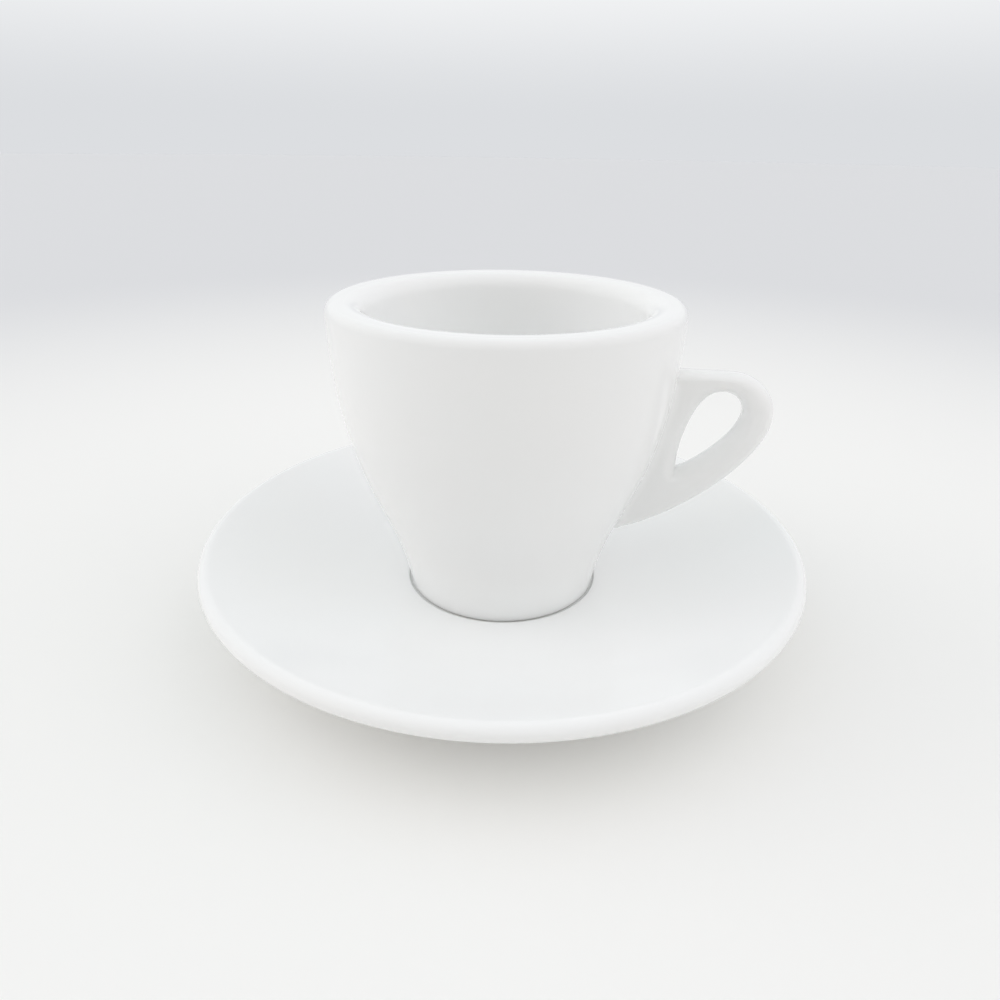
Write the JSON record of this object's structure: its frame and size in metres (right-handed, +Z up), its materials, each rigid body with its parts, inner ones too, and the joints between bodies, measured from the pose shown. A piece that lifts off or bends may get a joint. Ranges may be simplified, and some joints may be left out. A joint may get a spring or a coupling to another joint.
{
  "type": "espresso cup with saucer",
  "caption": "Small thick-walled espresso cup with a looped pinch handle, standing loose in the shallow seat of a round, gently dished saucer, in plain white glazed porcelain.",
  "frame": {"origin": "centre of the plane that the saucer stands on, on the common axis of cup and saucer", "axes": "+Z up along the axis of cup and saucer, +X towards the cup's handle"},
  "size_m": [0.1146, 0.1146, 0.0623],
  "materials": {
    "white_porcelain": "gloss"
  },
  "bodies": {
    "saucer": {"saucer": "white_porcelain"},
    "cup": {"cup_body": "white_porcelain", "cup_handle": "white_porcelain"}
  },
  "joints": [
    {"name": "cup_lift", "type": "slide", "parent": "saucer", "child": "cup", "axis": [0, 0, 1], "range_m": [0, 0.15]}
  ]
}
